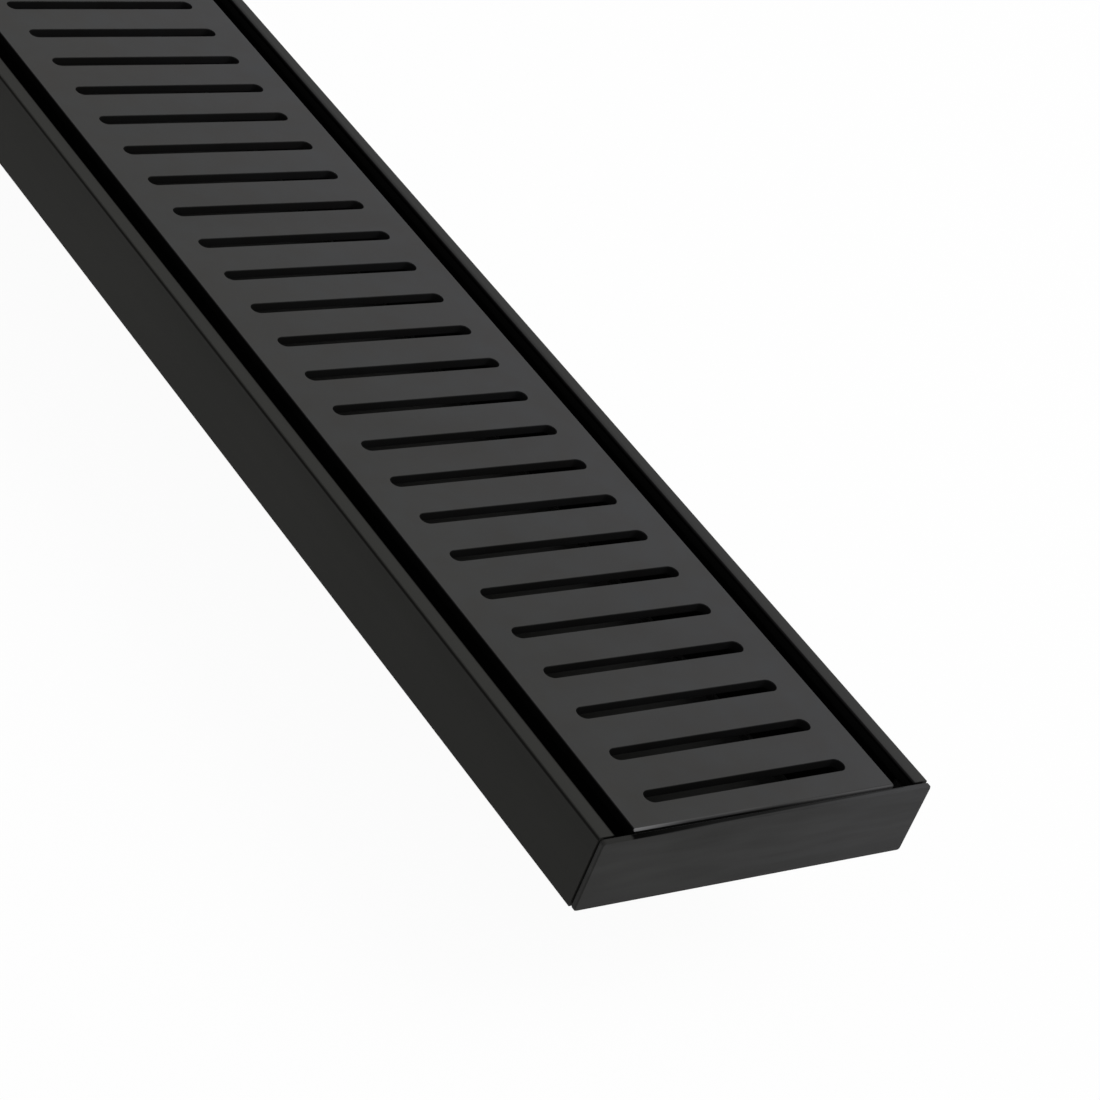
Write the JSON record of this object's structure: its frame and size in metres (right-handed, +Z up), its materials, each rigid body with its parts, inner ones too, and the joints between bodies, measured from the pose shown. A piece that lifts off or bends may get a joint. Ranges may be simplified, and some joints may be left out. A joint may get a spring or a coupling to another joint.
{
  "type": "channel drain",
  "caption": "Shallow black shower channel drain with flat rims, a drop-in slotted grate, flat end caps and an outlet spigot under its middle.",
  "frame": {"origin": "centre of the outlet spigot's lower end, the lowest point of the drain", "axes": "+Z up out of the floor, +Y along the channel, +X across it"},
  "size_m": [0.1, 0.9, 0.0535],
  "materials": {
    "powder_coat": "matt black powder coat",
    "grate_coat": "matt black powder coat",
    "cap_coat": "matt black powder coat",
    "black_pvc": "moulded black PVC"
  },
  "bodies": {
    "root": {"channel_body": "powder_coat", "slotted_grate": "grate_coat", "end_cap_near": "cap_coat", "end_cap_far": "cap_coat", "outlet_spigot": "black_pvc"}
  },
  "joints": []
}
